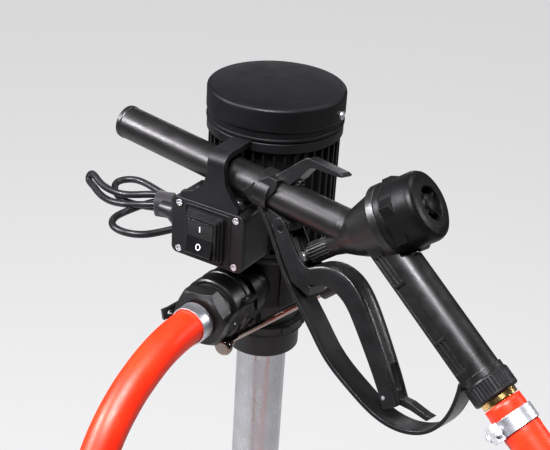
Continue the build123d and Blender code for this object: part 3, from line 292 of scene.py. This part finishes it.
def motor_fixings():
    """Bright screws on the cowl, blackened ones on the lower end shield."""
    m = M["zinc_steel"].copy()
    m.name = "motor_fixings"
    nt = m.node_tree
    bs = next(n for n in nt.nodes if n.type == "BSDF_PRINCIPLED")
    tc = nt.nodes.new("ShaderNodeTexCoord")
    sep = nt.nodes.new("ShaderNodeSeparateXYZ")
    nt.links.new(tc.outputs["Object"], sep.inputs[0])
    low = maprange(nt, sep.outputs["Z"], 0.100, 0.101, 1.0, 0.0)
    old = bs.inputs["Base Color"].links[0].from_socket
    nt.links.new(mix_col(nt, low, old, (0.022, 0.022, 0.024)), bs.inputs["Base Color"])
    return m


M["motor_fixings"] = motor_fixings()

SLOT = {r["node"]: r["material_slot"] for r in frame["record"]["subparts"]}
OVERRIDE = {"valve_bonnet": "bonnet_plastic", "trigger_guard": "guard_plastic", "trigger_lever": "guard_plastic", "hold_open_latch": "guard_plastic",
            "valve_stem": "stem_grey", "trigger_pin": "black_screw", "swivel_ring": "cast_black", "motor_screws": "motor_fixings"}


def set_material(o, key):
    o.data.materials.clear()
    o.data.materials.append(M[key])


for n, o in NODES.items():
    set_material(o, OVERRIDE.get(n, SLOT[n]))


# ---------------------------------------------------------------- mesh helpers
def spline(pts, per=12):
    """Natural cubic through the points, chord-length parameter, evenly sampled in length."""
    P = np.array(pts, float)
    t = np.concatenate([[0], np.cumsum(np.linalg.norm(np.diff(P, axis=0), axis=1))])
    n = len(P)
    h = np.diff(t)
    A = np.zeros((n, n))
    B = np.zeros((n, 3))
    A[0, 0] = A[-1, -1] = 1
    for i in range(1, n - 1):
        A[i, i - 1], A[i, i], A[i, i + 1] = h[i - 1], 2 * (h[i - 1] + h[i]), h[i]
        B[i] = 6 * ((P[i + 1] - P[i]) / h[i] - (P[i] - P[i - 1]) / h[i - 1])
    S = np.linalg.solve(A, B)
    ts = np.linspace(0, t[-1], 6000)
    k = np.clip(np.searchsorted(t, ts, side="right") - 1, 0, n - 2)
    a = (t[k + 1] - ts)[:, None]
    b = (ts - t[k])[:, None]
    hh = h[k][:, None]
    Q = (S[k] * a ** 3 + S[k + 1] * b ** 3) / (6 * hh) + (P[k] / hh - S[k] * hh / 6) * a + (P[k + 1] / hh - S[k + 1] * hh / 6) * b
    L = np.concatenate([[0], np.cumsum(np.linalg.norm(np.diff(Q, axis=0), axis=1))])
    m = max(8, int(L[-1] / per))
    Lq = np.linspace(0, L[-1], m + 1)
    return np.stack([np.interp(Lq, L, Q[:, i]) for i in range(3)], axis=1), Lq


def frames(Q):
    T = np.gradient(Q, axis=0)
    T /= np.linalg.norm(T, axis=1)[:, None]
    u = np.cross(T[0], [0, 0, 1.0])
    if np.linalg.norm(u) < 1e-3:
        u = np.cross(T[0], [1.0, 0, 0])
    u /= np.linalg.norm(u)
    U = [u]
    for i in range(1, len(Q)):
        u = U[-1] - T[i] * (U[-1] @ T[i])
        U.append(u / np.linalg.norm(u))
    U = np.array(U)
    return T, U, np.cross(T, U)


def mesh_obj(name, verts, faces, mat, smooth=True):
    me = bpy.data.meshes.new(name)
    me.from_pydata([tuple(float(c) for c in v) for v in verts], [], faces)
    bm = bmesh.new()
    bm.from_mesh(me)
    bmesh.ops.recalc_face_normals(bm, faces=bm.faces)
    bm.to_mesh(me)
    bm.free()
    me.materials.append(M[mat])
    if smooth:
        for p in me.polygons:
            p.use_smooth = True
    o = bpy.data.objects.new(name, me)
    bpy.context.scene.collection.objects.link(o)
    return o


def sharp(o, deg=35):
    """Smooth shading that keeps edges over the angle crisp."""
    bm = bmesh.new()
    bm.from_mesh(o.data)
    lim = math.radians(deg)
    for e in bm.edges:
        e.smooth = not (len(e.link_faces) == 2 and e.calc_face_angle(0) > lim)
    bm.to_mesh(o.data)
    bm.free()


def tube(name, Q, rad, mat, segs=24, inner=None, shape=None, uv=False):
    """Tube along Q (mm); rad(i, s) outer radius; inner radius makes it hollow, otherwise ends are domed."""
    T, U, V = frames(Q)
    L = np.concatenate([[0], np.cumsum(np.linalg.norm(np.diff(Q, axis=0), axis=1))])
    verts, faces = [], []
    rings = []

    def add_ring(c, u, v, r, sh=None):
        base = len(verts)
        for k in range(segs):
            a = 2 * math.pi * k / segs
            rr = r * (sh(a) if sh else 1.0)
            verts.append((c + (u * math.cos(a) + v * math.sin(a)) * rr) * MM)
        rings.append(base)
        return base

    if inner is None:
        r0 = rad(0, 0.0)
        for f, dz in ((0.35, -0.9), (0.8, -0.5)):
            add_ring(Q[0] + T[0] * dz * r0 * 0.5, U[0], V[0], r0 * f)
    for i in range(len(Q)):
        add_ring(Q[i], U[i], V[i], rad(i, L[i]), (lambda a, i=i: shape(i, L[i], a)) if shape else None)
    if inner is None:
        r1 = rad(len(Q) - 1, L[-1])
        for f, dz in ((0.8, 0.5), (0.35, 0.9)):
            add_ring(Q[-1] + T[-1] * dz * r1 * 0.5, U[-1], V[-1], r1 * f)
        chain = list(rings)
    else:
        outer_rings = list(rings)
        rings.clear()
        for i in range(len(Q) - 1, -1, -1):
            add_ring(Q[i], U[i], V[i], inner)
        chain = outer_rings + list(rings)
    for a, b in zip(chain[:-1], chain[1:]):
        for k in range(segs):
            k2 = (k + 1) % segs
            faces.append((a + k, a + k2, b + k2, b + k))
    if inner is None:
        faces.append(tuple(chain[0] + k for k in range(segs - 1, -1, -1)))
        faces.append(tuple(chain[-1] + k for k in range(segs)))
    else:
        a, b = chain[-1], chain[0]
        for k in range(segs):
            k2 = (k + 1) % segs
            faces.append((a + k, a + k2, b + k2, b + k))
    o = mesh_obj(name, verts, faces, mat)
    if uv:
        lay = o.data.uv_layers.new(name="UVMap")
        nring = len(Q)
        tot = len(verts)
        for p in o.data.polygons:
            idx = [o.data.loops[li].vertex_index for li in p.loop_indices]
            ks = [v % segs for v in idx]
            wrap = max(ks) - min(ks) > 1
            for li, v in zip(p.loop_indices, idx):
                k, r = v % segs, v // segs
                if r >= nring:
                    r = 2 * nring - 1 - r
                uu = k / segs
                if wrap and k == 0:
                    uu = 1.0
                lay.data[li].uv = (uu, L[min(r, nring - 1)] / 1000.0)
    return o


# ---------------------------------------------------------------- nozzle frame (for places on the nozzle)
O_N = np.array([118.591, -77.601, 149.57])
X_N = np.array([0.99263, -0.08264, -0.08868]); X_N = X_N / np.linalg.norm(X_N)
Z_N = np.array([0.10609, 0.23836, 0.96536]); Z_N = Z_N - X_N * (Z_N @ X_N); Z_N = Z_N / np.linalg.norm(Z_N)
Y_N = np.cross(Z_N, X_N)
GA = math.radians(-30.3)
GB = (10.3, 9.7)


def nzp(a, c, y=0.0):
    return O_N + X_N * a + Y_N * y + Z_N * c


def gpt(t, off=0.0):
    return GB[0] + t * math.cos(GA) - off * math.sin(GA), GB[1] + t * math.sin(GA) + off * math.cos(GA)


# ---------------------------------------------------------------- delivery hose
h_end = nzp(*gpt(143.0))
h_end2 = nzp(*gpt(184.0))
h_dir = (h_end2 - h_end) / np.linalg.norm(h_end2 - h_end)
hp = [(0, -97, 45), (0, -142.7, 45), (0.3, -197, 19.3), (6, -249.5, -40.2), (22, -281, -170), (70, -283, -330),
      (185, -250, -425), (315, -203, -395), (392, -165, -235), (398, -146, -120), tuple(h_end2 + h_dir * 68.0), tuple(h_end)]


def arc_path(pts, keep0, keep1, step):
    """Evenly spaced points along straight runs joined by tangent arcs."""
    P = np.array(pts, float)
    n = len(P)
    L = np.linalg.norm(np.diff(P, axis=0), axis=1)
    Q, cur = [P[0]], P[0]

    def line(a, b):
        k = max(1, int(np.linalg.norm(b - a) / 0.5))
        for j in range(1, k + 1):
            Q.append(a + (b - a) * j / k)

    for i in range(1, n - 1):
        d0, d1 = (P[i] - P[i - 1]) / L[i - 1], (P[i + 1] - P[i]) / L[i]
        turn = math.acos(max(-1.0, min(1.0, float(d0 @ d1))))
        t = min(L[i - 1] - keep0 if i == 1 else L[i - 1] / 2, L[i] - keep1 if i == n - 2 else L[i] / 2)
        R = t / math.tan(turn / 2)
        a = P[i] - d0 * t
        ax = np.cross(d0, d1); ax /= np.linalg.norm(ax)
        c = a + np.cross(ax, d0) * R
        if np.linalg.norm(a - cur) > 1e-3:
            line(cur, a)
        k = max(2, int(R * turn / 0.5))
        for j in range(1, k + 1):
            th = turn * j / k
            v = a - c
            Q.append(c + v * math.cos(th) + np.cross(ax, v) * math.sin(th))
        cur = P[i] + d1 * t
    line(cur, P[-1])
    Q = np.array(Q)
    S = np.concatenate([[0], np.cumsum(np.linalg.norm(np.diff(Q, axis=0), axis=1))])
    m = max(8, int(S[-1] / step))
    Sq = np.linspace(0, S[-1], m + 1)
    return np.stack([np.interp(Sq, S, Q[:, i]) for i in range(3)], axis=1), Sq


HQ, HL = arc_path(hp, 20.0, 49.0, 3.2)
H_TOT = HL[-1]


def hose_r(i, s):
    r = 13.5
    for c, w in ((12.5, 6.0), (H_TOT - 14.5, 6.0)):
        d = abs(s - c)
        if d < w:
            r -= 0.22
        elif d < w + 3.5:
            r += 0.28 * math.sin(math.pi * (d - w) / 3.5)
    return r + 0.05 * math.sin(s / 27.0) * math.sin(s / 11.3)


curv = np.linalg.norm(np.gradient(np.gradient(HQ, axis=0), axis=0), axis=1) / 3.2 ** 2


def hose_shape(i, s, a):
    k = min(1.0, curv[i] * 140.0)
    return 1.0 + 0.006 * k * math.cos(2 * a) + 0.0015 * math.sin(5 * a + s / 40.0)


hose = tube("delivery_hose_skin", HQ, hose_r, "hose_red", segs=48, inner=9.6, shape=hose_shape, uv=True)
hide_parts("delivery_hose")
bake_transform(hose)

# ---------------------------------------------------------------- power cable, coiled in a hank with a strap
gx = -0.9 - 31.7
cable_pts = [(gx + 1.0, -67, 110.5), (gx - 12, -67, 110.5), (gx - 22, -66.5, 110.0), (-60.5, -61, 107), (-65, -49, 97), (-70, -30, 78), (-82, 0, 52),
             (-100, 36, 27), (-122, 66, 16), (-144, 88, 14.5), (-166, 95, 13.0), (-184, 86, 12.0), (-204, 78, 9.5), (-224, 78, 7.0), (-244, 86, 6.5),
             (-259, 95, 7.0), (-268, 101, 9.5), (-266, 101, 13.5), (-252, 95, 14.5), (-230, 87, 13.0), (-208, 85, 15.5), (-186, 95, 18.5), (-168, 101, 18.5),
             (-146, 107, 16.0), (-136, 119, 12.0), (-146, 127, 8.0), (-168, 122, 6.5), (-194, 122, 7.0), (-216, 127, 8.0), (-235, 126, 8.0),
             (-243, 115, 7.0), (-235, 101, 5.0), (-220, 92, 4.2), (-200, 92, 4.2), (-178, 99, 4.2),
             (-156, 97, 4.2), (-144, 84, 4.2), (-150, 62, 4.2), (-161, 46, 4.4), (-176, 39, 5.0), (-191, 42, 5.4), (-200, 55, 5.0),
             (-201, 71, 4.4), (-195, 86, 6.5), (-182, 98, 11.0), (-160, 106, 10.0), (-134, 114, 6.0), (-116, 128, 5.0), (-102, 137, 5.6),
             (-88, 140, 6.0), (-78, 140, 6.0)]
CQ, CL = spline(cable_pts, 2.4)
cable = tube("power_cable_hank", CQ, lambda i, s: 3.35 + 0.03 * math.sin(s / 9.0), "cable_rubber", segs=18)
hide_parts("power_cable")
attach(cable, "pump")


def strap():
    """Flat strap wound round the bundle of the hank."""
    c0 = np.array([-172.0, 97.5, 11.0])
    d = np.array([-0.93, -0.36, 0.05]); d /= np.linalg.norm(d)
    s = np.cross([0, 0, 1.0], d); s /= np.linalg.norm(s)
    up = np.cross(d, s)
    verts, faces = [], []
    n, m = 66, 9
    W = 17.0
    for j in range(m):
        w = -W / 2 + W * j / (m - 1)
        for k in range(n):
            a = 0.9 + 2 * math.pi * k / n * 1.22
            grow = 1.0 * k / n + 0.22 * math.sin(2.3 * a + j * 0.4) + 0.5 * (abs(j - 4) / 4.0) ** 3
            e = 0.80
            rx = 11.0 + grow
            rz = 10.0 + grow
            ca, sa = math.cos(a), math.sin(a)
            p = c0 + d * (w + 1.2 * math.sin(a)) + s * (rx * math.copysign(abs(ca) ** e, ca)) + up * (rz * math.copysign(abs(sa) ** e, sa))
            p[2] = max(p[2], 1.2 + 0.02 * k / n)
            verts.append(p * MM)
    for j in range(m - 1):
        for k in range(n - 1):
            a = j * n + k
            faces.append((a, a + 1, a + n + 1, a + n))
    o = mesh_obj("hank_strap", verts, faces, "strap_black")
    so = o.modifiers.new("thick", "SOLIDIFY")
    so.thickness = 0.0010
    so.offset = 0.0
    sb = o.modifiers.new("sub", "SUBSURF")
    sb.levels = sb.render_levels = 1
    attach(o, "pump")


strap()

# ---------------------------------------------------------------- rocker marks
RK_P = np.array([-0.9, -90.5, 113.1])
ra = math.radians(-7.0)


def rk_pt(x, y, z):
    return (RK_P + np.array([x, y * math.cos(ra) - z * math.sin(ra), y * math.sin(ra) + z * math.cos(ra)])) * MM


def rk_face(z):
    """Depth of the rocker face at height z in the rocker's own frame."""
    az = abs(z)
    if az < 6.7:
        return -5.7 - 0.8 * az / 6.7
    return -6.5 - 1.1 * (az - 6.7) / 6.7


def rk_mark(name, outline_out, outline_in=None):
    n = len(outline_out)
    verts, faces = [], []
    layers = []
    loops = [outline_out] + ([outline_in] if outline_in else [])
    for depth, inset in ((0.25, 0.0), (-0.10, 0.0), (-0.16, 0.07)):
        row = []
        for li, lp in enumerate(loops):
            cx = sum(p[0] for p in lp) / n
            cz = sum(p[1] for p in lp) / n
            idx = []
            for (x, z) in lp:
                dx, dz = x - cx, z - cz
                L = math.hypot(dx, dz)
                sgn = -1 if li == 0 else 1
                x2, z2 = x + sgn * inset * dx / L, z + sgn * inset * dz / L
                idx.append(len(verts))
                verts.append(rk_pt(x2, rk_face(z2) + depth, z2))
            row.append(idx)
        layers.append(row)
    for a, b in zip(layers[:-1], layers[1:]):
        for la, lb in zip(a, b):
            for k in range(n):
                k2 = (k + 1) % n
                faces.append((la[k], la[k2], lb[k2], lb[k]))
    for row in (layers[0], layers[-1]):
        if outline_in:
            for k in range(n):
                k2 = (k + 1) % n
                faces.append((row[0][k], row[0][k2], row[1][k2], row[1][k]))
        else:
            faces.append(tuple(row[0]))
    o = mesh_obj(name, verts, faces, "mark_white")
    sharp(o, 40)
    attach(o, "rocker")
    return o


def rrect(cx, cz, w, h, r, k=5):
    pts = []
    for sx, sz, a0 in ((1, 1, 0), (-1, 1, 90), (-1, -1, 180), (1, -1, 270)):
        for i in range(k):
            a = math.radians(a0 + 90.0 * i / (k - 1))
            pts.append((cx + sx * (w / 2 - r) + r * math.cos(a), cz + sz * (h / 2 - r) + r * math.sin(a)))
    return pts


rk_mark("mark_on", rrect(-0.3, 6.9, 0.95, 4.6, 0.25))
N_O = 40
ell = lambda rx, rz: [(-0.3 + rx * math.cos(2 * math.pi * k / N_O), -6.9 + rz * math.sin(2 * math.pi * k / N_O)) for k in range(N_O)]
rk_mark("mark_off", ell(2.15, 2.5), ell(1.4, 1.75))

# ---------------------------------------------------------------- stage, light, camera
bpy.context.view_layer.update()
low = cad_lo.z


def stage_mat(name, c, rough):
    m, nt, bs = new_mat(name)
    v = coords(nt)
    col = mix_col(nt, maprange(nt, noise_tex(nt, v, 3.0, 3.0), 0.3, 0.7, 0, 1), tuple(x * 0.99 for x in c), c)
    nt.links.new(col, bs.inputs["Base Color"])
    setin(bs, "Roughness", rough)
    return m


def floor_mat():
    m = stage_mat("floor_pale", (0.62, 0.62, 0.61), 0.6)
    nt = m.node_tree
    out = next(n for n in nt.nodes if n.type == "OUTPUT_MATERIAL")
    bs = next(n for n in nt.nodes if n.type == "BSDF_PRINCIPLED")
    em = nt.nodes.new("ShaderNodeEmission")
    em.inputs[0].default_value = (0.96, 0.96, 0.97, 1)
    em.inputs[1].default_value = 0.86
    pl = nt.nodes.new("ShaderNodeLightPath")
    k = nt.nodes.new("ShaderNodeMath")
    k.operation = "MULTIPLY"
    k.inputs[1].default_value = 0.78
    nt.links.new(pl.outputs["Is Camera Ray"], k.inputs[0])
    mxs = nt.nodes.new("ShaderNodeMixShader")
    nt.links.new(k.outputs[0], mxs.inputs[0])
    nt.links.new(bs.outputs[0], mxs.inputs[1])
    nt.links.new(em.outputs[0], mxs.inputs[2])
    nt.links.new(mxs.outputs[0], out.inputs["Surface"])
    return m


fm = bpy.data.meshes.new("floor")
S = 14.0
fm.from_pydata([(-S, -S, low), (S, -S, low), (S, S, low), (-S, S, low)], [], [(0, 1, 2, 3)])
fm.materials.append(floor_mat())
floor = bpy.data.objects.new("floor", fm)
bpy.context.scene.collection.objects.link(floor)

w = bpy.data.worlds.new("studio")
bpy.context.scene.world = w
w.use_nodes = True
wn = w.node_tree
bg = wn.nodes["Background"]
bg.inputs[0].default_value = (0.95, 0.94, 1.0, 1)
bg.inputs[1].default_value = 0.09
seen = wn.nodes.new("ShaderNodeBackground")
seen.inputs[0].default_value = (0.97, 0.97, 0.98, 1)
seen.inputs[1].default_value = 0.90
lp = wn.nodes.new("ShaderNodeLightPath")
mx = wn.nodes.new("ShaderNodeMixShader")
wn.links.new(lp.outputs["Is Camera Ray"], mx.inputs[0])
wn.links.new(bg.outputs[0], mx.inputs[1])
wn.links.new(seen.outputs[0], mx.inputs[2])
wn.links.new(mx.outputs[0], next(n for n in wn.nodes if n.type == "OUTPUT_WORLD").inputs["Surface"])


def area(name, loc, target, size, power, color=(1, 1, 1), size_y=None):
    l = bpy.data.lights.new(name, "AREA")
    l.energy = power
    l.color = color
    l.size = size
    if size_y:
        l.shape = "RECTANGLE"
        l.size_y = size_y
    o = bpy.data.objects.new(name, l)
    o.location = loc
    o.rotation_euler = (Vector(target) - Vector(loc)).to_track_quat("-Z", "Y").to_euler()
    bpy.context.scene.collection.objects.link(o)
    return o


area("key", (-1.36, -1.06, 1.06), (0.06, -0.08, 0.14), 0.95, 60, (0.985, 0.965, 1.0), 0.42)
area("frontal", (0.16, -0.98, 1.78), (0.16, -0.10, 0.08), 1.0, 88, (0.985, 0.965, 1.0), 0.42)
area("rim", (1.35, 1.10, 0.75), (0.1, -0.05, 0.10), 0.4, 10, (0.97, 0.98, 1.0))
area("rear_top", (0.5, 1.25, 2.2), (0.05, 0.0, 0.05), 0.7, 20, (1.0, 0.99, 0.98))
area("behind", (-0.9, 1.9, 0.40), (0.0, 0.0, 0.16), 1.2, 2.5, (0.97, 0.97, 1.0), 0.2)

cd = bpy.data.cameras.new("camera")
cd.sensor_width = 36.0
cd.lens = 81.818
cd.shift_x = -0.0018
cd.clip_start = 0.01
cam = bpy.data.objects.new("camera", cd)
bpy.context.scene.collection.objects.link(cam)
bpy.context.scene.camera = cam
r_, u_, f_ = Vector((0.8480, 0.5270, 0.0567)), Vector((-0.2867, 0.3661, 0.8853)), Vector((-0.4458, 0.7670, -0.4616))
f_.normalize()
r_ = (r_ - f_ * r_.dot(f_)).normalized()
u_ = r_.cross(f_)
cam.matrix_world = Matrix(((r_.x, u_.x, -f_.x, 0.44921), (r_.y, u_.y, -f_.y, -0.76164), (r_.z, u_.z, -f_.z, 0.54583), (0, 0, 0, 1)))

bpy.context.scene.view_settings.view_transform = "Standard"
bpy.context.scene.view_settings.gamma = 0.80
bpy.context.scene.view_settings.exposure = 0.12
